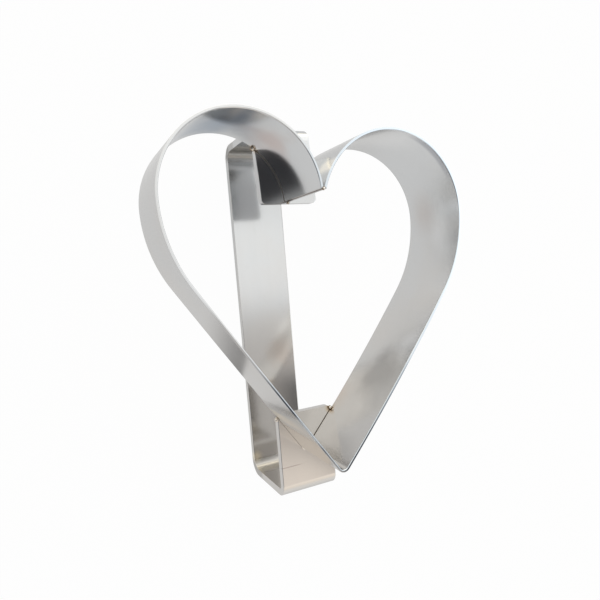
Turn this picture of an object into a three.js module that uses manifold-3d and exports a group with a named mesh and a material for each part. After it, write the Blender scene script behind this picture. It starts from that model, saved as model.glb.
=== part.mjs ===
// Heart doughnut cutter. One thin steel strip, folded at the tip and meeting in a seam at the notch, makes the
// heart. One flat bar, bent like a staple, makes the handle: a long grip and two short runs, each ending in a
// foot that turns in. The heart's back edge stands on the feet and is held there by tack welds.
// Millimetres, +Z up. The cutter lies on the flat back of its grip, with the cutting edge up and the lobes
// towards +Y. The origin is the middle of the grip's back face.

import * as THREE from 'three';
import { mergeVertices } from 'three/addons/utils/BufferGeometryUtils.js';
import Module from 'manifold-3d';

// Heart strip. Sizes along Y are taken from the notch, and the outline is that of the outer face. The heart is
// bent by hand, so its two halves differ a little.
const BAND_DEPTH = 25.4;
const BAND_THICKNESS = 0.8;
const NOTCH_TO_TIP = 84.3;
const TIP_OFFSET = -0.8;
const LEFT_REACH = 47.3;
const RIGHT_REACH = 50.3;
const LEFT_LOBE_DROP = 1.8;
const RIGHT_LOBE_DROP = 7.7;
const FLANK_RADIUS = 42.8;
const LEFT_SIDE_RADIUS = 5000;
const RIGHT_SIDE_RADIUS = 650;
const FOLD_RADIUS = 1.4;
const SEAM_GAP = 0.3;

// Handle bar. The feet lap over the heart by the two laps, and the bend radii are those of the inner face.
const BAR_WIDTH = 20;
const BAR_THICKNESS = 2.4;
const FINGER_GAP = 24.2;
const NOTCH_LAP = 0.8;
const TIP_LAP = 14.2;
const TOP_FOOT_LENGTH = 24.7;
const BOTTOM_FOOT_LENGTH = 28.2;
const FOOT_BEND_RADIUS = 1.8;
const GRIP_BEND_RADIUS = 3.0;
const FOOT_CORNER_RADIUS = 1.6;

// Tack welds, each a round bead cut back from the steel it lies against. Those on the feet keep an inset from
// the foot's edges, and the one at the tip is drawn out along the wall.
const TACK_RADIUS = 0.9;
const TACK_INSET = 0.9;
const NOTCH_TACK_RADIUS = 0.7;
const TIP_TACK_STRETCH = 2.4;
const TACK_CLEARANCE = 0.3;

// How far a facet may stand off its true curve
const FACET_ERROR = 0.015;

// Levels that follow from the sizes above
const gripFace = BAR_THICKNESS;
const footBack = gripFace + FINGER_GAP;
const footFace = footBack + BAR_THICKNESS;
const bandFront = footFace + BAND_DEPTH;
const topFootEnd = -NOTCH_LAP;
const topEnd = topFootEnd + TOP_FOOT_LENGTH;
const bottomFootEnd = -NOTCH_TO_TIP + TIP_LAP;
const bottomEnd = bottomFootEnd - BOTTOM_FOOT_LENGTH;

const wasm = await Module();
wasm.setup();

function solidOf(geometry) {
  const bare = geometry.clone();
  bare.deleteAttribute('normal');
  bare.deleteAttribute('uv');
  const merged = mergeVertices(bare);
  return new wasm.Manifold(new wasm.Mesh({
    numProp: 3,
    vertProperties: new Float32Array(merged.attributes.position.array),
    triVerts: new Uint32Array(merged.index.array),
  }));
}

function geometryOf(solid) {
  const mesh = solid.getMesh();
  const geometry = new THREE.BufferGeometry();
  geometry.setAttribute('position', new THREE.BufferAttribute(mesh.vertProperties, mesh.numProp));
  geometry.setIndex(new THREE.BufferAttribute(mesh.triVerts, 1));
  geometry.computeVertexNormals();
  return geometry;
}

function angleTo(centre, point) {
  return Math.atan2(point.y - centre.y, point.x - centre.x);
}

// The point that lies one distance from a first centre and another from a second, on the left of the line
// from the first to the second
function meetingPoint(first, firstDistance, second, secondDistance) {
  const span = first.distanceTo(second);
  const along = (firstDistance ** 2 - secondDistance ** 2 + span ** 2) / (2 * span);
  const across = Math.sqrt(firstDistance ** 2 - along ** 2);
  const ahead = second.clone().sub(first).divideScalar(span);
  return new THREE.Vector2(
    first.x + ahead.x * along - ahead.y * across,
    first.y + ahead.y * along + ahead.x * across,
  );
}

function stepsOver(angle, radius) {
  const widest = 2 * Math.acos(1 - FACET_ERROR / radius);
  return Math.max(2, Math.ceil(Math.abs(angle) / widest));
}

function arcPoints({ centre, radius, from, to }, offset) {
  const reach = radius + offset;
  const steps = stepsOver(to - from, radius);
  return Array.from({ length: steps + 1 }, (_, i) => {
    const angle = from + ((to - from) * i) / steps;
    return new THREE.Vector2(centre.x + reach * Math.cos(angle), centre.y + reach * Math.sin(angle));
  });
}

function mirrored(points) {
  return points.map((point) => new THREE.Vector2(-point.x, point.y));
}

// The circles of one half of the heart, drawn as a right half: the lobe through the notch, the flank that eases
// it into the side, and the side that runs on through the sharp tip
function halfHeart(reach, drop, sideRadius, tipX) {
  const notch = new THREE.Vector2(SEAM_GAP / 2, 0);
  const tip = new THREE.Vector2(tipX, -NOTCH_TO_TIP);
  const width = reach - notch.x;
  const lobeRadius = (width ** 2 + drop ** 2) / (2 * width);
  const lobeCentre = new THREE.Vector2(reach - lobeRadius, -drop);
  const flankCentre = new THREE.Vector2(reach - FLANK_RADIUS, -drop);
  const sideCentre = meetingPoint(tip, sideRadius, flankCentre, sideRadius - FLANK_RADIUS);
  const turn = angleTo(sideCentre, flankCentre);
  return {
    lobe: { centre: lobeCentre, radius: lobeRadius, from: angleTo(lobeCentre, notch), to: 0 },
    flank: { centre: flankCentre, radius: FLANK_RADIUS, from: 0, to: turn },
    side: { centre: sideCentre, radius: sideRadius, from: turn },
  };
}

const left = halfHeart(LEFT_REACH, LEFT_LOBE_DROP, LEFT_SIDE_RADIUS, -TIP_OFFSET);
const right = halfHeart(RIGHT_REACH, RIGHT_LOBE_DROP, RIGHT_SIDE_RADIUS, TIP_OFFSET);

// The fold at the tip is a round that touches both sides from within. It is shared out between the halves.
const foldRadius = FOLD_RADIUS + BAND_THICKNESS;
const [leftSideCentre] = mirrored([left.side.centre]);
const foldCentre = meetingPoint(
  leftSideCentre,
  LEFT_SIDE_RADIUS - foldRadius,
  right.side.centre,
  RIGHT_SIDE_RADIUS - foldRadius,
);
const foldRight = angleTo(right.side.centre, foldCentre);
const foldLeft = angleTo(leftSideCentre, foldCentre);
const foldMiddle = (foldRight + foldLeft) / 2;

function halfArcs({ lobe, flank, side }, centre, from, to) {
  return [lobe, flank, { ...side, to: from }, { centre, radius: foldRadius, from, to }];
}

const rightArcs = halfArcs(right, foldCentre, foldRight, foldMiddle);
const leftArcs = halfArcs(left, mirrored([foldCentre])[0], -Math.PI - foldLeft, -Math.PI - foldMiddle);

function face(arcs, offset) {
  return arcs.flatMap((arc, i) => arcPoints(arc, offset).slice(Math.min(i, 1)));
}

function upright(shape, bottom, top) {
  const geometry = new THREE.ExtrudeGeometry(shape, { depth: top - bottom, bevelEnabled: false });
  return geometry.translate(0, 0, bottom);
}

function bandGeometry() {
  const around = (offset) => [
    ...face(rightArcs, offset),
    ...mirrored(face(leftArcs, offset)).reverse().slice(1),
  ];
  const outline = [...around(0), ...around(-BAND_THICKNESS).reverse()];
  return upright(new THREE.Shape(outline), footFace, bandFront);
}

// The room that one half of the strip takes up, with the tack clearance all round
function bandRoom(arcs, draw) {
  const [lobe, ...rest] = arcs;
  const longer = [{ ...lobe, from: lobe.from + TACK_CLEARANCE / lobe.radius }, ...rest];
  const outer = face(longer, TACK_CLEARANCE);
  const inner = face(longer, -BAND_THICKNESS - TACK_CLEARANCE);
  const shape = new THREE.Shape(draw([...outer, ...inner.reverse()]));
  return solidOf(upright(shape, footFace - TACK_CLEARANCE, bandFront + TACK_CLEARANCE));
}

// The bar from the side, as Y and Z, from the top foot round the grip to the bottom foot
const footOuter = FOOT_BEND_RADIUS + BAR_THICKNESS;
const gripOuter = GRIP_BEND_RADIUS + BAR_THICKNESS;
const quarter = Math.PI / 2;
const bends = [
  { y: topEnd - footOuter, z: footFace - footOuter, radius: footOuter, from: quarter },
  { y: topEnd - gripOuter, z: gripOuter, radius: gripOuter, from: 0 },
  { y: bottomEnd + gripOuter, z: gripOuter, radius: gripOuter, from: -quarter },
  { y: bottomEnd + footOuter, z: footFace - footOuter, radius: footOuter, from: -2 * quarter },
].map(({ y, z, radius, from }) => ({ centre: new THREE.Vector2(y, z), radius, from, to: from - quarter }));

function barGeometry(grow) {
  const side = (offset, level) => [
    new THREE.Vector2(topFootEnd - grow, level),
    ...bends.flatMap((bend) => arcPoints(bend, offset)),
    new THREE.Vector2(bottomFootEnd + grow, level),
  ];
  const outside = side(grow, footFace + grow);
  const inside = side(-BAR_THICKNESS - grow, footBack - grow);
  const shape = new THREE.Shape([...outside, ...inside.reverse()]);
  const [x, y, z] = [[1, 0, 0], [0, 1, 0], [0, 0, 1]].map((axis) => new THREE.Vector3(...axis));
  return upright(shape, -BAR_WIDTH / 2 - grow, BAR_WIDTH / 2 + grow)
    .applyMatrix4(new THREE.Matrix4().makeBasis(y, z, x));
}

// What is cut away to round one corner of a foot. Hand is the corner's side in X, and way points along the foot.
function footCorner(hand, footEnd, way) {
  const radius = FOOT_CORNER_RADIUS;
  const middle = new THREE.Vector2(hand * (BAR_WIDTH / 2 - radius), footEnd + way * radius);
  const from = hand > 0 ? 0 : Math.PI;
  const round = arcPoints({ centre: middle, radius, from, to: from - hand * way * quarter }, 0);
  const outside = [
    new THREE.Vector2(middle.x, footEnd - way * radius),
    new THREE.Vector2(middle.x + 2 * hand * radius, footEnd - way * radius),
    new THREE.Vector2(middle.x + 2 * hand * radius, middle.y),
  ];
  return solidOf(upright(new THREE.Shape([...round, ...outside]), footBack - radius, footFace + radius));
}

let bar = solidOf(barGeometry(0));
for (const hand of [-1, 1]) {
  bar = bar.subtract(footCorner(hand, topFootEnd, 1));
  bar = bar.subtract(footCorner(hand, bottomFootEnd, -1));
}

const taken = bandRoom(rightArcs, (points) => points)
  .add(bandRoom(leftArcs, mirrored))
  .add(solidOf(barGeometry(TACK_CLEARANCE)));

function roundBead(radius) {
  return new THREE.SphereGeometry(radius, stepsOver(4 * quarter, radius), stepsOver(2 * quarter, radius));
}

function tackGeometry(bead, x, y, z) {
  return geometryOf(solidOf(bead.translate(x, y, z)).subtract(taken));
}

// A tack inside the heart, where a wall is about to leave a foot. The bead's far side stays in the wall.
function wallTack(hand, circle, wallX, wallY) {
  const wall = new THREE.Vector2(wallX, wallY);
  const inward = circle.centre.clone().sub(wall).normalize();
  const middle = wall.addScaledVector(inward, TACK_RADIUS - BAND_THICKNESS);
  return tackGeometry(roundBead(TACK_RADIUS), hand * middle.x, middle.y, footFace);
}

function topTack(hand, { lobe }) {
  const x = BAR_WIDTH / 2 - TACK_INSET;
  const rise = Math.sqrt((lobe.radius - BAND_THICKNESS) ** 2 - (x - lobe.centre.x) ** 2);
  return wallTack(hand, lobe, x, lobe.centre.y + rise);
}

function bottomTack(hand, { side }) {
  const inner = side.radius - BAND_THICKNESS;
  const edge = BAR_WIDTH / 2 - TACK_INSET;
  const atEdge = side.centre.y - Math.sqrt(inner ** 2 - (edge - side.centre.x) ** 2);
  const y = Math.min(atEdge, bottomFootEnd - TACK_INSET);
  const x = side.centre.x + Math.sqrt(inner ** 2 - (y - side.centre.y) ** 2);
  return wallTack(hand, side, x, y);
}

// The tack outside the heart, where the left side runs into the fold
function tipTack() {
  const reach = foldRadius + TACK_RADIUS - BAND_THICKNESS;
  const x = foldCentre.x + reach * Math.cos(foldLeft);
  const y = foldCentre.y + reach * Math.sin(foldLeft);
  const bead = roundBead(TACK_RADIUS).scale(1, TIP_TACK_STRETCH, 1).rotateZ(foldLeft);
  return tackGeometry(bead, x, y, footFace);
}

function notchTack(z) {
  return tackGeometry(roundBead(NOTCH_TACK_RADIUS), 0, -NOTCH_TACK_RADIUS / 2, z);
}

const steel = new THREE.MeshStandardMaterial({ color: 0xc9ccd0, roughness: 0.18, metalness: 1 });
const weld = new THREE.MeshStandardMaterial({ color: 0x8d7c68, roughness: 0.42, metalness: 1 });

const pieces = [
  ['handle_bar', geometryOf(bar), steel],
  ['heart_band', bandGeometry(), steel],
  ['weld_top_left', topTack(-1, left), weld],
  ['weld_top_right', topTack(1, right), weld],
  ['weld_bottom_left', bottomTack(-1, left), weld],
  ['weld_bottom_right', bottomTack(1, right), weld],
  ['weld_tip', tipTack(), weld],
  ['weld_notch_back', notchTack(footFace + NOTCH_TACK_RADIUS), weld],
  ['weld_notch_front', notchTack(bandFront - NOTCH_TACK_RADIUS), weld],
];

// The cutter is drawn from its notch, and is set down here with the middle of the grip over the origin
const cutter = new THREE.Group();
cutter.name = 'heart_doughnut_cutter';
cutter.position.y = -(topEnd + bottomEnd) / 2;
for (const [name, geometry, material] of pieces) {
  const mesh = new THREE.Mesh(geometry, material);
  mesh.name = name;
  cutter.add(mesh);
}

export default cutter;
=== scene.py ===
import math

import bmesh
import bpy
import numpy as np
from mathutils import Matrix, Vector


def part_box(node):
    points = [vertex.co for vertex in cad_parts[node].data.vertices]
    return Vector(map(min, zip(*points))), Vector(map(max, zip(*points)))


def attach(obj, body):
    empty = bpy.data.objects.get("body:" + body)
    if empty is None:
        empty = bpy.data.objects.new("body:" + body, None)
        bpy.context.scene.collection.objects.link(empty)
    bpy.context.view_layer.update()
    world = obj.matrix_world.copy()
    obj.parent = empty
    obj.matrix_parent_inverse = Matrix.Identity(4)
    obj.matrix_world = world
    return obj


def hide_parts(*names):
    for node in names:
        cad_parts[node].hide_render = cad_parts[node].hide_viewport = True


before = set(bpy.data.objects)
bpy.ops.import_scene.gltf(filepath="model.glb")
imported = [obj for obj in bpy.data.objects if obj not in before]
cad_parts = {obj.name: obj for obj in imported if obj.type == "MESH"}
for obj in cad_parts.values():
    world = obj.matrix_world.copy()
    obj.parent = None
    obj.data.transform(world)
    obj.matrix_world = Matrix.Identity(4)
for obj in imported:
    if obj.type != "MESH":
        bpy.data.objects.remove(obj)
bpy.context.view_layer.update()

# Handle bar
# A flat bar of bright steel, bent cold four times into a staple: a long grip, two short runs, and two feet
# that turn in to carry the heart. Its long edges are lightly broken, and the feet's corners are filed round.
bar_low, bar_high = (np.array(corner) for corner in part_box("handle_bar"))
bar_half_width = (bar_high[0] - bar_low[0]) / 2
bar_thickness = 0.0024
bar_edge_round = 0.00025
bar_wave = 0.00002
foot_bend = 0.0018 + bar_thickness / 2
grip_bend = 0.0030 + bar_thickness / 2
foot_corner = 0.0016
top_foot_length = 0.0247
top_foot_skew = 0.0008
bottom_foot_length = 0.0282
bend_steps = 61
corner_steps = 13
round_steps = 6
sharp_angle = 0.1
heat_reach = 0.0024


class Wire:
    """A socket in a node tree. Arithmetic on it adds Math nodes, and add() adds any other node."""

    def __init__(self, tree, socket=None):
        self.tree = tree
        self.socket = socket

    def add(self, kind, settings, inputs, out=0):
        node = self.tree.nodes.new(kind)
        for name, value in settings.items():
            if name == "stops":
                while len(node.color_ramp.elements) < len(value):
                    node.color_ramp.elements.new(1.0)
                for element, (place, colour) in zip(node.color_ramp.elements, value):
                    element.position = place
                    element.color = (*colour, 1.0)
            else:
                setattr(node, name, value)
        for name, value in inputs.items():
            if isinstance(value, Wire):
                self.tree.links.new(value.socket, node.inputs[name])
            else:
                node.inputs[name].default_value = value
        return Wire(self.tree, node.outputs[out])

    def math(self, operation, first, second=0.0):
        return self.add("ShaderNodeMath", {"operation": operation}, {0: first, 1: second})

    def __add__(self, other):
        return self.math("ADD", self, other)

    def __radd__(self, other):
        return self.math("ADD", other, self)

    def __sub__(self, other):
        return self.math("SUBTRACT", self, other)

    def __rsub__(self, other):
        return self.math("SUBTRACT", other, self)

    def __mul__(self, other):
        return self.math("MULTIPLY", self, other)

    def __rmul__(self, other):
        return self.math("MULTIPLY", other, self)

    def least(self, other):
        return self.math("MINIMUM", self, other)

    def most(self, other):
        return self.math("MAXIMUM", self, other)

    def size(self):
        return self.math("ABSOLUTE", self)

    def rise(self, low, high):
        smooth = {"interpolation_type": "SMOOTHSTEP"}
        return self.add("ShaderNodeMapRange", smooth, {0: self, 1: low, 2: high})

    def fall(self, low, high):
        return 1.0 - self.rise(low, high)

    def part(self, axis):
        return self.add("ShaderNodeSeparateXYZ", {}, {0: self}, axis)

    def noise(self, scale, detail, distortion=0.0):
        settings = {"Vector": self, "Scale": scale, "Detail": detail, "Distortion": distortion}
        return self.add("ShaderNodeTexNoise", {}, settings)

    def from_point(self, point):
        return self.add("ShaderNodeVectorMath", {"operation": "DISTANCE"}, {0: self, 1: point}, "Value")

    def blend(self, first, second):
        first, second = (c if isinstance(c, Wire) else (*c, 1.0) for c in (first, second))
        return self.add("ShaderNodeMix", {"data_type": "RGBA"}, {0: self, 6: first, 7: second}, 2)


def steel(name, shine, across_axis, wave, stains_and_painted_light):
    """Rolled and polished steel: a fine grain along the strip, cloudy polish, slow waves, heat tint, painted
    shade and painted highlights.
    """
    grain_stretch = 0.02
    grain_height = 0.0000005
    material = bpy.data.materials.new(name)
    material.use_nodes = True
    tree = material.node_tree
    shader = tree.nodes["Principled BSDF"]
    shader.inputs["Metallic"].default_value = 1.0
    shader.inputs["Specular Tint"].default_value = (0.82, 0.815, 0.81, 1.0)
    start = Wire(tree)
    place = start.add("ShaderNodeTexCoord", {}, {}, "Object")
    along = start.add("ShaderNodeAttribute", {"attribute_name": "along"}, {}, "Fac")
    across = place.part(across_axis)
    lengthwise = start.add("ShaderNodeCombineXYZ", {}, {0: across, 1: along * grain_stretch})
    grain = lengthwise.noise(3200, 3)
    streaks = lengthwise.noise(420, 2)
    clouds = place.noise(55, 2)
    marks = place.noise(330, 4, 0.6)
    # Cooler towards the top and warmer towards the bottom: a painted tint of the cool and warm light the
    # steel reflects.
    warmth = (place.part(1) * -8.0 + 0.10 + clouds * 0.9).rise(0.1, 0.9)
    tone = warmth.blend((0.652, 0.662, 0.670), (0.672, 0.656, 0.636))
    tone = (marks.rise(0.56, 0.75) * 0.05).blend(tone, (0.50, 0.48, 0.45))
    tone = (streaks.rise(0.3, 0.8) * 0.07).blend(tone, (0.55, 0.55, 0.55))
    for patch, colour in stains_and_painted_light(place, marks):
        tone = patch.blend(tone, colour)
    tree.links.new(tone.socket, shader.inputs["Base Color"])
    rough = shine(place) + (clouds - 0.5) * 0.05 + (grain - 0.5) * 0.03 + marks.rise(0.55, 0.8) * 0.012
    tree.links.new(rough.socket, shader.inputs["Roughness"])
    height = place.noise(38, 1) * wave + grain * grain_height
    bump = start.add("ShaderNodeBump", {}, {"Strength": 1.0, "Distance": 1.0, "Height": height})
    tree.links.new(bump.socket, shader.inputs["Normal"])
    return material


tacks = {
    name: (Vector(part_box(name)[0]) + Vector(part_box(name)[1])) / 2 + Vector(off)
    for name, off in (
        ("weld_top_left", (-0.0013, 0.0012, -0.0003)),
        ("weld_top_right", (0.0013, 0.0011, -0.0003)),
        ("weld_bottom_left", (-0.0020, -0.0003, -0.0004)),
        ("weld_bottom_right", (0.0008, 0.0011, -0.0003)),
        ("weld_tip", (0.0002, 0.0002, -0.0006)),
        ("weld_notch_back", (0.0003, 0.0, -0.0005)),
        ("weld_notch_front", (0.0001, 0.0006, 0.0003)),
    )
}


def tack_heat(place, marks):
    """Heat tint round the dark tacks: straw, then brown, then nearly black beside the bead."""
    nearest = place.from_point(tacks["weld_top_left"])
    for name in ("weld_top_right", "weld_bottom_right"):
        nearest = nearest.least(place.from_point(tacks[name]))
    nearest = nearest + (marks - 0.5) * 0.0010
    return [
        (nearest.fall(0.6 * heat_reach, heat_reach) * 0.5, (0.64, 0.56, 0.46)),
        (nearest.fall(0.35 * heat_reach, 0.7 * heat_reach) * 0.6, (0.40, 0.31, 0.22)),
        (nearest.fall(0.2 * heat_reach, 0.45 * heat_reach) * 0.7, (0.15, 0.11, 0.08)),
    ]


def near_bends(place):
    """The inside of the two grip bends, where bending has dulled the steel and painted shade darkens it."""
    past_middle = (place.part(1) - float(bar_low[1] + bar_high[1]) / 2).size()
    reach = float(bar_high[1] - bar_low[1]) / 2
    return past_middle.rise(reach - 0.0062, reach - 0.0048) * place.part(2).fall(0.008, 0.011)


def bar_stains_and_painted_light(place, marks):
    """The bar's heat tint, marks, painted shade and painted highlight, each as its strength and colour, from
    the first laid to the last.
    """
    warm_spot = (0.0046, -0.0167, 0.0024)
    gleam_spot = (-0.0090, -0.0548, 0.0024)
    crease_y = -0.0507
    # Painted shade darkening the top grip bend.
    top_bend = place.part(1).rise(0.0563, 0.0572) * place.part(2).fall(0.0040, 0.0048)
    crease = (place.part(1) - crease_y).size().fall(0.00008, 0.00024)
    crease = crease * place.part(0).fall(-0.0050, -0.0015) * place.part(2).rise(0.0280, 0.0285)
    # Painted shade on the upper end of the grip.
    painted_shade_patch = place.part(1).rise(0.028, 0.042) * place.part(1).fall(0.048, 0.055)
    warm = (place.from_point(warm_spot) + (marks - 0.5) * 0.006).fall(0.001, 0.008)
    # A painted warm highlight on the grip near its lower bend.
    gleam = place.from_point(gleam_spot).fall(0.0004, 0.0030)
    return tack_heat(place, marks) + [
        (top_bend * 0.6, (0.20, 0.20, 0.20)),
        (crease * 0.5, (0.33, 0.28, 0.28)),
        (painted_shade_patch * 0.25, (0.45, 0.45, 0.46)),
        (warm * 0.5, (0.68, 0.59, 0.53)),
        # Painted shade inside the grip bends.
        (near_bends(place) * 0.5, (0.38, 0.37, 0.35)),
        (gleam * 0.9, (1.0, 0.92, 0.76)),
    ]


def bar_shine(place):
    return 0.13 + near_bends(place) * 0.17


bar_path = []
bar_top, bar_bottom = bar_high[1] - bar_thickness / 2, bar_low[1] + bar_thickness / 2
bar_front, bar_back = bar_high[2] - bar_thickness / 2, bar_low[2] + bar_thickness / 2
for y, z, bend, first_angle in (
    (bar_top - foot_bend, bar_front - foot_bend, foot_bend, 90),
    (bar_top - grip_bend, bar_back + grip_bend, grip_bend, 0),
    (bar_bottom + grip_bend, bar_back + grip_bend, grip_bend, -90),
    (bar_bottom + foot_bend, bar_front - foot_bend, foot_bend, -180),
):
    for turn in np.radians(np.linspace(first_angle, first_angle - 90, bend_steps)):
        out = np.array([math.cos(turn), math.sin(turn)])
        bar_path.append((np.array([y, z]) + bend * out, out, bar_half_width, 0.0))
top_free = bar_high[1] - top_foot_length
bottom_free = bar_low[1] + bottom_foot_length
up = np.array([0, 1])
top_corner = []
bottom_corner = []
for turn in np.radians(np.linspace(0, 90, corner_steps)):
    step = foot_corner * (1 - math.cos(turn))
    half = bar_half_width - foot_corner * (1 - math.sin(turn))
    top_corner.append((np.array([top_free + step, bar_front]), up, half, top_foot_skew))
    bottom_corner.append((np.array([bottom_free - step, bar_front]), up, half, 0.0))
bar_stations = top_corner + bar_path + bottom_corner[::-1]

bar_mesh = bmesh.new()
bar_along = bar_mesh.verts.layers.float.new("along")
bar_rings = []
bar_run = 0.0
for i, (middle, out, half, shift) in enumerate(bar_stations):
    if i > 0:
        bar_run += float(np.linalg.norm(middle - bar_stations[i - 1][0]))
    ring = []
    for side, level, first_angle in ((1, 1, 90), (1, -1, 0), (-1, -1, -90), (-1, 1, -180)):
        middle_x = shift + side * (half - bar_edge_round)
        middle_n = level * (bar_thickness / 2 - bar_edge_round)
        for turn in np.radians(np.linspace(first_angle, first_angle - 90, round_steps)):
            point = middle + (middle_n + bar_edge_round * math.sin(turn)) * out
            corner_x = middle_x + bar_edge_round * math.cos(turn)
            corner = bar_mesh.verts.new((corner_x, point[0], point[1]))
            corner[bar_along] = bar_run
            ring.append(corner)
    bar_rings.append(ring)
for first, second in zip(bar_rings, bar_rings[1:]):
    for i in range(len(first)):
        j = (i + 1) % len(first)
        bar_mesh.faces.new((first[i], first[j], second[j], second[i]))
bar_mesh.faces.new(bar_rings[0])
bar_mesh.faces.new(bar_rings[-1])
bmesh.ops.recalc_face_normals(bar_mesh, faces=bar_mesh.faces)
bar_data = bpy.data.meshes.new("handle_bar_bent")
bar_mesh.to_mesh(bar_data)
bar_mesh.free()
bar_data.shade_smooth()
bar_data.set_sharp_from_angle(angle=sharp_angle)
handle = bpy.data.objects.new("handle_bar_bent", bar_data)
bpy.context.collection.objects.link(handle)
bar_data.materials.append(steel("polished bar steel", bar_shine, 0, bar_wave, bar_stains_and_painted_light))
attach(handle, "root")
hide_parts("handle_bar")

# Heart band
# One strip of thin polished steel stood on edge and bent by hand into a heart. It is folded at the tip, and
# its two ends come together side by side at the notch, where the seam is tacked.
band_low, band_high = (np.array(corner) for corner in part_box("heart_band"))
band_depth = band_high[2] - band_low[2]
band_thickness = 0.0008
band_outer_round = 0.00005
band_inner_round = 0.00030
band_wave = 0.00003
notch_overhang = 0.0008
notch_y = top_free + notch_overhang
tip_shift = -0.0008
tip_drop = 0.0843
tip = np.array([tip_shift, notch_y - tip_drop])
seam_half = 0.00015
fold_radius = 0.0022
flank_radius = 0.0428
right_reach, right_drop, right_side_radius = 0.0503, 0.0077, 0.650
left_reach, left_drop, left_side_radius = 0.0473, 0.0018, 5.000
line_spacing = 0.0005
fold_spacing = 0.00012


def meeting(first, first_distance, second, second_distance):
    """The point at the given distances from two others, to the left of the way from first to second."""
    span = np.linalg.norm(second - first)
    along = (first_distance**2 - second_distance**2 + span**2) / (2 * span)
    ahead = (second - first) / span
    across = math.sqrt(first_distance**2 - along**2)
    return first + ahead * along + np.array([-ahead[1], ahead[0]]) * across


def bearing(centre, point):
    return math.atan2(point[1] - centre[1], point[0] - centre[0])


def heart_half(reach, drop, side_radius, tip_point):
    """The three arcs of one half, from notch to tip: each a centre, a radius and its two end angles."""
    width = reach - seam_half
    lobe_radius = (width**2 + drop**2) / (2 * width)
    lobe = np.array([reach - lobe_radius, notch_y - drop])
    flank = np.array([reach - flank_radius, notch_y - drop])
    side = meeting(tip_point, side_radius, flank, side_radius - flank_radius)
    turn = bearing(side, flank)
    start = bearing(lobe, np.array([seam_half, notch_y]))
    return [(lobe, lobe_radius, start, 0), (flank, flank_radius, 0, turn), (side, side_radius, turn, None)]


flip = np.array([-1, 1])
right_half = heart_half(right_reach, right_drop, right_side_radius, tip)
left_half = heart_half(left_reach, left_drop, left_side_radius, tip * flip)
right_side = right_half[2][0]
left_side = left_half[2][0] * flip
fold = meeting(left_side, left_side_radius - fold_radius, right_side, right_side_radius - fold_radius)
fold_right, fold_left = bearing(right_side, fold), bearing(left_side, fold)
right_half[2] = (*right_half[2][:3], fold_right)
left_half[2] = (*left_half[2][:3], -math.pi - fold_left)


def arc_points(centre, radius, start, stop, spacing):
    radius = radius - band_thickness / 2
    steps = max(8, math.ceil(abs(stop - start) * radius / spacing))
    turns = np.linspace(start, stop, steps + 1)
    return centre + radius * np.stack([np.cos(turns), np.sin(turns)], 1)


right_line = np.concatenate([arc_points(*arc, line_spacing)[:-1] for arc in right_half])
left_line = np.concatenate([arc_points(*arc, line_spacing)[:-1] for arc in left_half]) * flip
fold_line = arc_points(fold, fold_radius, fold_right, fold_left, fold_spacing)
heart_line = np.concatenate([right_line, fold_line, left_line[::-1]])


def in_plan(place, x, y):
    """How far a point is from (x, y), whatever its height."""
    plan = place.add("ShaderNodeCombineXYZ", {}, {0: place.part(0), 1: place.part(1)})
    return plan.from_point((x, y, 0.0))


def off_left_tack(place):
    return in_plan(place, -0.0114, -0.0313)


def front_edge(place):
    """The ground edge that cuts, as 1 there and 0 on the faces."""
    return (place.part(2) - float(band_low[2])).rise(0.0251, 0.0253)


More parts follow.
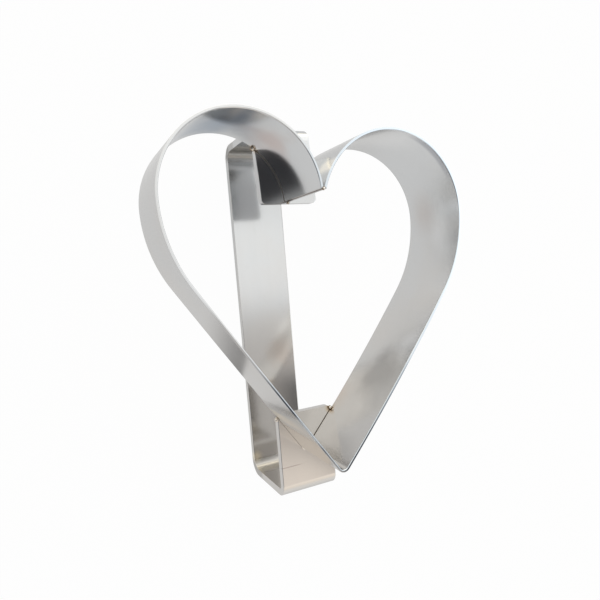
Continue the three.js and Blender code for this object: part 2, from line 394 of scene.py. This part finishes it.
def band_stains_and_painted_light(place, marks):
    """The strip's heat tint, marks, darker patches, painted shade and painted highlights, each as its
    strength and colour, from the first laid to the last.
    """
    low = place.part(2) - float(band_low[2])
    beside = place.part(0).size()
    speckle = marks - 0.5
    ragged = (place.noise(90, 2) - 0.5) * 0.014
    inner = place.add("ShaderNodeAttribute", {"attribute_name": "inner"}, {}, "Fac")
    outer = 1.0 - inner
    # Painted cool reflection on the left lobe's inner face, near its top.
    painted_cool_reflection = (place.from_point((-0.0285, 0.058, 0.040)) + ragged).fall(0.004, 0.018)
    # Painted shade on the left lobe's inner face, near the notch.
    painted_shade_patch = (place.from_point((-0.016, 0.057, 0.038)) + ragged).fall(0.001, 0.011)
    warm = (place.from_point((-0.009, 0.053, 0.041)) + ragged).fall(0.001, 0.012)
    # Darker patches on the inner faces: on the right wall, near the tip, and towards the front of the lower
    # half.
    right_wall_darkening = (place.from_point((0.0205, -0.0215, 0.045)) + ragged).fall(0.002, 0.014)
    near_tip_darkening = (place.from_point((0.004, -0.041, 0.047)) + ragged).fall(0.003, 0.016)
    front_low_darkening = low.rise(0.014, 0.024) * place.part(1).fall(-0.026, -0.010)
    # Painted brightening on the right lobe's inner faces and the right wall.
    right_bright_patch = place.from_point((0.049, 0.0265, 0.0515)).fall(0.003, 0.014)
    top_bright_patch = place.from_point((0.027, 0.0565, 0.047)).fall(0.004, 0.015)
    side_bright_patch = place.from_point((0.0277, -0.0128, 0.0525)).fall(0.001, 0.008)
    painted_brightening = right_bright_patch.most(top_bright_patch * 0.4).most(side_bright_patch)
    # A darker pinkish patch on the right lobe's inner face.
    pinkish_patch = (place.from_point((0.0495, 0.0307, 0.0375)) + ragged * 0.3).fall(0.0, 0.010)
    by_rim = place.from_point((0.0415, 0.048, 0.0535)).fall(0.004, 0.013)
    rim_shade = low.rise(0.0225, 0.0242) * by_rim
    by_tack = (off_left_tack(place) + speckle * 0.0012).fall(0.0010, 0.0034)
    # A painted golden highlight on the left wall's outer face near its back edge, beside the lower left tack.
    painted_gold_highlight = by_tack * low.fall(0.006, 0.026)
    # A painted warm highlight on the right lobe's outer face, beside the notch.
    gleam = in_plan(place, 0.0036, 0.0441).fall(0.0008, 0.0034) * low.rise(0.0155, 0.0195)
    bluish = place.part(0).rise(-0.012, 0.004).most(place.part(1).fall(-0.020, 0.0))
    off_seam = (place.part(1) - float(notch_y)).size() + beside * 0.9 + speckle * 0.0004
    seam = off_seam.fall(0.0003, 0.0011)
    on_foot = beside.fall(0.0098, 0.0104) * (low + speckle * 0.0002).fall(0.00015, 0.0005)
    return tack_heat(place, marks) + [
        (inner * painted_cool_reflection * 0.85, (0.31, 0.38, 0.47)),
        (inner * painted_shade_patch * 0.7, (0.40, 0.41, 0.43)),
        (inner * warm * 0.7, (0.57, 0.48, 0.45)),
        (inner * right_wall_darkening * 0.85, (0.41, 0.40, 0.39)),
        (inner * near_tip_darkening * 0.4, (0.50, 0.48, 0.46)),
        (inner * front_low_darkening * 0.4, (0.46, 0.45, 0.44)),
        (inner * painted_brightening * 0.8, (0.90, 0.90, 0.90)),
        (inner * pinkish_patch * 0.5, (0.56, 0.51, 0.48)),
        (inner * rim_shade * 0.75, (0.38, 0.39, 0.42)),
        (outer * painted_gold_highlight * 0.7, (0.94, 0.86, 0.74)),
        (outer * gleam * 0.85, (1.0, 0.96, 0.88)),
        (front_edge(place) * 0.7, bluish.blend((0.63, 0.63, 0.63), (0.62, 0.69, 0.76))),
        (seam * 0.85, (0.16, 0.12, 0.09)),
        (on_foot * 0.85, (0.15, 0.11, 0.08)),
    ]


def band_shine(place):
    low = place.part(2) - float(band_low[2])
    burnt = place.part(0).size().fall(0.0098, 0.0104) * low.fall(0.0002, 0.0006)
    heated = off_left_tack(place).fall(0.0025, 0.0080)
    rolled = 0.14 + place.part(0).rise(0.012, 0.030) * 0.07
    return rolled * (1.0 - front_edge(place) * 0.6) + burnt * 0.4 + heated * 0.22


band_curve = bpy.data.curves.new("heart_line", "CURVE")
band_curve.dimensions = "3D"
spline = band_curve.splines.new("POLY")
spline.points.add(len(heart_line) - 1)
for point, (x, y) in zip(spline.points, heart_line):
    point.co = (x, y, (band_low[2] + band_high[2]) / 2, 1)
band_path = bpy.data.objects.new("heart_line", band_curve)
bpy.context.collection.objects.link(band_path)

band_tree = bpy.data.node_groups.new("strip along a line", "GeometryNodeTree")
band_tree.interface.new_socket("Line", in_out="INPUT", socket_type="NodeSocketGeometry")
band_values = {}
for name, size in (
    ("Depth", band_depth),
    ("Thickness", band_thickness),
    ("Outer round", band_outer_round),
    ("Inner round", band_inner_round),
):
    socket = band_tree.interface.new_socket(name, in_out="INPUT", socket_type="NodeSocketFloat")
    band_values[socket.identifier] = float(size)
socket = band_tree.interface.new_socket("Finish", in_out="INPUT", socket_type="NodeSocketMaterial")
band_values[socket.identifier] = steel("polished strip steel", band_shine, 2, band_wave, band_stains_and_painted_light)
band_tree.interface.new_socket("Strip", in_out="OUTPUT", socket_type="NodeSocketGeometry")
start = Wire(band_tree)
given = band_tree.nodes.new("NodeGroupInput")
line, depth, thickness, outer_round, inner_round, band_finish = (
    Wire(band_tree, socket) for socket in given.outputs[:6]
)
line = start.add("GeometryNodeSetCurveNormal", {"mode": "Z_UP"}, {"Curve": line})
run = start.add("GeometryNodeSplineParameter", {}, {}, "Length")
on_points = {"data_type": "FLOAT", "domain": "POINT"}
line = start.add(
    "GeometryNodeStoreNamedAttribute", on_points, {"Geometry": line, "Name": "along", "Value": run}
)
section = start.add("GeometryNodeCurvePrimitiveQuadrilateral", {}, {"Width": thickness, "Height": depth})
inside = start.add("GeometryNodeInputPosition", {}, {}).part(0)
inside = inside.math("GREATER_THAN", inside, 0.0)
edge_round = outer_round + inside * (inner_round - outer_round)
section = start.add(
    "GeometryNodeFilletCurve", {"mode": "POLY"}, {"Curve": section, "Count": 6, "Radius": edge_round}
)
section = start.add(
    "GeometryNodeStoreNamedAttribute", on_points, {"Geometry": section, "Name": "inner", "Value": inside}
)
strip = start.add(
    "GeometryNodeCurveToMesh", {}, {"Curve": line, "Profile Curve": section, "Fill Caps": True}
)
edge_angle = start.add("GeometryNodeInputMeshEdgeAngle", {}, {})
above = {"data_type": "FLOAT", "operation": "GREATER_THAN"}
sharp = start.add("FunctionNodeCompare", above, {"A": edge_angle, "B": sharp_angle})
strip = start.add(
    "GeometryNodeSetShadeSmooth",
    {"domain": "EDGE"},
    {"Geometry": strip, "Selection": sharp, "Shade Smooth": False},
)
strip = start.add("GeometryNodeRealizeInstances", {}, {"Geometry": strip})
strip = start.add("GeometryNodeSetMaterial", {}, {"Geometry": strip, "Material": band_finish})
band_tree.links.new(strip.socket, band_tree.nodes.new("NodeGroupOutput").inputs[0])
sweep = band_path.modifiers.new("strip along a line", "NODES")
sweep.node_group = band_tree
for identifier, value in band_values.items():
    sweep[identifier] = value
scene_now = bpy.context.evaluated_depsgraph_get()
band_data = bpy.data.meshes.new_from_object(band_path.evaluated_get(scene_now), depsgraph=scene_now)
band_data.name = "heart_band_bent"
bpy.data.objects.remove(band_path)
heart = bpy.data.objects.new("heart_band_bent", band_data)
bpy.context.collection.objects.link(heart)
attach(heart, "root")
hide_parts("heart_band")

# Tack welds
# Small beads of weld metal that fix the heart to the two feet and close the seam at the notch. Each was laid
# in one touch and left as it set in a burnt ring, with a painted highlight on top. The lower left one is
# pale.
bead_sizes = {
    "weld_top_left": (0.0008, 0.0008, 0.0008),
    "weld_top_right": (0.0008, 0.0008, 0.0008),
    "weld_bottom_left": (0.0008, 0.0008, 0.0008),
    "weld_bottom_right": (0.00065, 0.00065, 0.00065),
    "weld_tip": (0.0021, 0.00022, 0.00015),
    "weld_notch_back": (0.0004, 0.0004, 0.0005),
    "weld_notch_front": (0.0005, 0.0005, 0.0005),
}
bead_lump = 0.00022
bead_points = bpy.data.meshes.new("bead_points")
bead_points.from_pydata([tacks[name] for name in bead_sizes], [], [])
bead_scale = bead_points.attributes.new("bead", "FLOAT_VECTOR", "POINT")
bead_scale.data.foreach_set("vector", np.array(list(bead_sizes.values()), dtype=np.float32).ravel())
bead_turn = bead_points.attributes.new("turn", "FLOAT_VECTOR", "POINT")
for name, entry in zip(bead_sizes, bead_turn.data):
    entry.vector = (0, 0, fold_left + math.pi / 2 if name == "weld_tip" else 0)
bead_seed = bpy.data.objects.new("bead_points", bead_points)
bpy.context.collection.objects.link(bead_seed)

bead_finish = bpy.data.materials.new("weld metal")
bead_finish.use_nodes = True
bead_shader = bead_finish.node_tree.nodes["Principled BSDF"]
bead_shader.inputs["Metallic"].default_value = 1.0
start = Wire(bead_finish.node_tree)
place = start.add("ShaderNodeTexCoord", {}, {}, "Object")
crown = start.add("ShaderNodeNewGeometry", {}, {}, "Normal").part(2)
crust = place.noise(2600, 3)
# Painted highlight: the bead is lighter where it faces up, and burnt elsewhere.
painted_crown_highlight = (crown + (crust - 0.5) * 0.9).rise(0.35, 0.85)
burnt = crust.rise(0.35, 0.65).blend((0.10, 0.07, 0.05), (0.48, 0.33, 0.18))
bead_tone = painted_crown_highlight.blend(burnt, (0.78, 0.74, 0.68))
pale = place.from_point(tacks["weld_bottom_left"]).fall(0.0014, 0.0022)
bead_tone = (pale * 0.85).blend(bead_tone, (0.74, 0.70, 0.65))
bead_rough = 0.45 - painted_crown_highlight * 0.2
bead_bump = start.add("ShaderNodeBump", {}, {"Strength": 0.6, "Distance": 0.0001, "Height": crust})
for result, name in ((bead_tone, "Base Color"), (bead_rough, "Roughness"), (bead_bump, "Normal")):
    bead_finish.node_tree.links.new(result.socket, bead_shader.inputs[name])

bead_tree = bpy.data.node_groups.new("weld beads", "GeometryNodeTree")
bead_tree.interface.new_socket("Points", in_out="INPUT", socket_type="NodeSocketGeometry")
bead_values = {}
for name, kind, value in (
    ("Lump", "NodeSocketFloat", bead_lump),
    ("Finish", "NodeSocketMaterial", bead_finish),
):
    socket = bead_tree.interface.new_socket(name, in_out="INPUT", socket_type=kind)
    bead_values[socket.identifier] = value
bead_tree.interface.new_socket("Beads", in_out="OUTPUT", socket_type="NodeSocketGeometry")
start = Wire(bead_tree)
given = bead_tree.nodes.new("NodeGroupInput")
points, lump, bead_coat = (Wire(bead_tree, socket) for socket in given.outputs[:3])
ball = start.add("GeometryNodeMeshIcoSphere", {}, {"Radius": 1.0, "Subdivisions": 4})
wide = start.add("GeometryNodeInputNamedAttribute", {"data_type": "FLOAT_VECTOR"}, {"Name": "bead"})
angle = start.add("GeometryNodeInputNamedAttribute", {"data_type": "FLOAT_VECTOR"}, {"Name": "turn"})
facing = start.add("FunctionNodeEulerToRotation", {}, {"Euler": angle})
beads = start.add(
    "GeometryNodeInstanceOnPoints",
    {},
    {"Points": points, "Instance": ball, "Rotation": facing, "Scale": wide},
)
beads = start.add("GeometryNodeRealizeInstances", {}, {"Geometry": beads})
spot = start.add("GeometryNodeInputPosition", {}, {})
swell = start.add("ShaderNodeTexNoise", {}, {"Vector": spot, "Scale": 900.0, "Detail": 1.0})
outward = start.add("GeometryNodeInputNormal", {}, {})
push = (swell - 0.5) * lump
push = start.add("ShaderNodeVectorMath", {"operation": "SCALE"}, {0: outward, "Scale": push})
beads = start.add("GeometryNodeSetPosition", {}, {"Geometry": beads, "Offset": push})
beads = start.add("GeometryNodeSetShadeSmooth", {}, {"Geometry": beads, "Shade Smooth": True})
beads = start.add("GeometryNodeSetMaterial", {}, {"Geometry": beads, "Material": bead_coat})
bead_tree.links.new(beads.socket, bead_tree.nodes.new("NodeGroupOutput").inputs[0])
laying = bead_seed.modifiers.new("weld beads", "NODES")
laying.node_group = bead_tree
for identifier, value in bead_values.items():
    laying[identifier] = value
scene_now = bpy.context.evaluated_depsgraph_get()
bead_data = bpy.data.meshes.new_from_object(bead_seed.evaluated_get(scene_now), depsgraph=scene_now)
bead_data.name = "tack_beads"
bpy.data.objects.remove(bead_seed)
bead_piece = bpy.data.objects.new("tack_beads", bead_data)
bpy.context.collection.objects.link(bead_piece)
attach(bead_piece, "root")
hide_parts(*bead_sizes)

# Floor, light and camera
# A plain white floor and a soft white studio tent, brightest behind the lobes and dimmer on the left. A floor
# shadow, a dark card, a shaded strip and the camera's dark opening give the steel its contrast.
floor_half = 2
floor_corners = [(x * floor_half, y * floor_half, 0) for x, y in ((-1, -1), (1, -1), (1, 1), (-1, 1))]
floor_mesh = bpy.data.meshes.new("floor")
floor_mesh.from_pydata(floor_corners, [], [(0, 1, 2, 3)])
floor = bpy.data.objects.new("floor", floor_mesh)
bpy.context.collection.objects.link(floor)
floor_finish = bpy.data.materials.new("white floor")
floor_finish.use_nodes = True
floor_finish.node_tree.nodes.clear()
start = Wire(floor_finish.node_tree)
seen = start.add("ShaderNodeLightPath", {}, {}, "Is Camera Ray")
mirrored = start.add("ShaderNodeLightPath", {}, {}, "Is Glossy Ray")
through = start.add("ShaderNodeLightPath", {}, {}, "Is Transmission Ray")
spot = start.add("ShaderNodeTexCoord", {}, {}, "Object")
shadow = spot.part(1).rise(-0.0297, -0.0280) * spot.part(1).fall(-0.0290, -0.0070)
shadow = shadow * spot.part(0).rise(-0.055, -0.035) * spot.part(0).fall(-0.016, -0.010)
plain = start.add("ShaderNodeBsdfDiffuse", {}, {"Color": (0.65, 0.65, 0.65, 1)})
white = start.add("ShaderNodeEmission", {}, {"Color": (1, 1, 1, 1), "Strength": 1.0})
dark = start.add("ShaderNodeEmission", {}, {"Color": (0.30, 0.30, 0.31, 1), "Strength": 1.0})
glow = start.add("ShaderNodeMixShader", {}, {0: shadow * mirrored, 1: white, 2: dark})
glowing = seen * 0.97 + (mirrored + through) * 0.67
floor_look = start.add("ShaderNodeMixShader", {}, {0: glowing, 1: plain, 2: glow})
floor_out = floor_finish.node_tree.nodes.new("ShaderNodeOutputMaterial")
floor_finish.node_tree.links.new(floor_look.socket, floor_out.inputs[0])
floor_mesh.materials.append(floor_finish)

world = bpy.data.worlds.new("studio")
bpy.context.scene.world = world
world.use_nodes = True
start = Wire(world.node_tree)
way = start.add("ShaderNodeTexCoord", {}, {}, "Generated")
across, along, up = (way.part(axis) for axis in range(3))
tent_stops = (
    (0.000, (0.95, 0.88, 0.79)),
    (0.270, (1.16, 1.06, 0.95)),
    (0.312, (0.98, 0.89, 0.81)),
    (0.326, (0.79, 0.73, 0.67)),
    (0.336, (0.69, 0.62, 0.56)),
    (0.400, (0.62, 0.59, 0.56)),
    (0.450, (0.70, 0.69, 0.68)),
    (0.475, (1.12, 1.13, 1.13)),
    (0.570, (1.12, 1.12, 1.10)),
    (0.700, (1.45, 1.44, 1.40)),
)
tent = start.add("ShaderNodeValToRGB", {"stops": tent_stops}, {"Fac": (along + 1.0) * 0.5})
strip_shade = along.rise(-0.447, -0.422) * along.fall(-0.20, -0.12) * across.fall(0.26, 0.32)
tent = strip_shade.blend(tent, (0.30, 0.33, 0.37))
slanted = along + (across - 0.38).most(0.0) * 1.4
card = slanted.rise(-0.305, -0.28) * along.fall(-0.212, -0.190) * across.rise(0.335, 0.375)
tent = card.blend(tent, (0.075, 0.075, 0.08))
tent = (across.rise(0.45, 0.75) * 0.8).blend(tent, (1.75, 1.82, 1.86))
horizon = along.rise(0.4, 0.9).blend((0.95, 0.93, 0.90), (2.30, 2.15, 1.80))
tent = up.rise(0.3, 0.6).blend(horizon, tent)
dimming = across.fall(-0.6, 0.15) * (along.fall(0.1, 0.45) * 0.20 + 0.22)
tent = dimming.blend(tent, (0.0, 0.0, 0.0))
opening_way = Vector((-0.33, -0.22, 0.92)).normalized()
opening_edge = math.cos(math.radians(19))
opening_core = math.cos(math.radians(11))
toward = start.add("ShaderNodeVectorMath", {"operation": "DOT_PRODUCT"}, {0: way, 1: opening_way}, "Value")
tent = toward.rise(opening_edge, opening_core).blend(tent, (0.06, 0.06, 0.066))
seen = start.add("ShaderNodeLightPath", {}, {}, "Is Camera Ray")
tent = seen.blend(tent, (1.0, 1.0, 1.0))
world.node_tree.links.new(tent.socket, world.node_tree.nodes["Background"].inputs[0])
world.node_tree.nodes["Background"].inputs[1].default_value = 1.0

picture_width = 600
focal_length = 515.8
camera_data = bpy.data.cameras.new("camera")
camera_data.sensor_width = 36
camera_data.lens = focal_length / picture_width * camera_data.sensor_width
camera_data.clip_start = 0.005
camera = bpy.data.objects.new("camera", camera_data)
bpy.context.collection.objects.link(camera)
camera_place = Vector((-0.07266, 0.01591, 0.18389))
camera_right = Vector((0.8959, -0.0828, 0.4365))
camera_up = Vector((0.1037, 0.9943, -0.0242))
camera_back = Vector((-0.432, 0.0669, 0.8994))
camera_turn = Matrix((camera_right, camera_up, camera_back)).transposed().to_4x4()
camera.matrix_world = Matrix.Translation(camera_place) @ camera_turn
bpy.context.scene.camera = camera
bpy.context.scene.view_settings.view_transform = "Standard"
